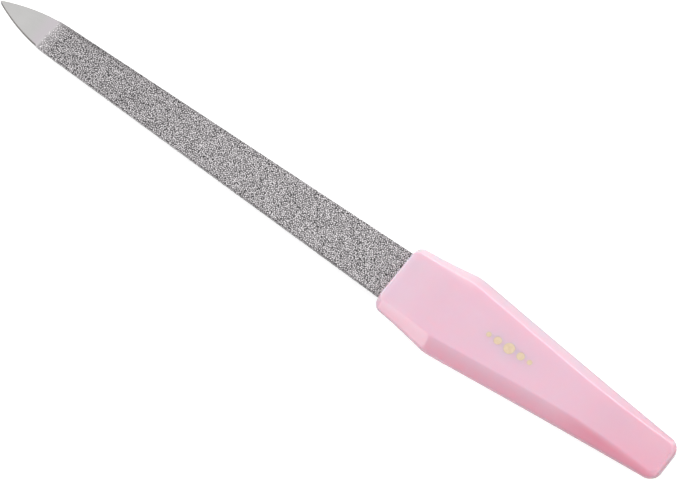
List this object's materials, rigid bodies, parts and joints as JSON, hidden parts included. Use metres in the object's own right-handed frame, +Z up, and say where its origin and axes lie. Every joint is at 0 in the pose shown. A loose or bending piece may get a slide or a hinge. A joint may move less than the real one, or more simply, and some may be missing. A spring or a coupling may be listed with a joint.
{
  "type": "nail file",
  "caption": "Flat pointed nail file with a grit-coated tapered steel blade and a slim faceted plastic handle.",
  "frame": {"origin": "under the middle of the whole length, level with the flat underside of the handle", "axes": "+X along the file from the blade's point to the end of the handle, +Y across it, +Z up through its thickness, out of the side with the gold dots"},
  "size_m": [0.15, 0.017, 0.006],
  "materials": {
    "satin_steel": "satin",
    "abrasive_grit": "fine grey grit with bright and dark grains",
    "pearl_pink_plastic": "satin gloss, slightly translucent",
    "gold_foil": "hot-stamped foil"
  },
  "bodies": {
    "root": {"blade": "satin_steel", "grit_coat": "abrasive_grit", "handle": "pearl_pink_plastic", "gold_dot_1": "gold_foil", "gold_dot_2": "gold_foil", "gold_dot_3": "gold_foil", "gold_dot_4": "gold_foil", "gold_dot_5": "gold_foil"}
  },
  "joints": []
}
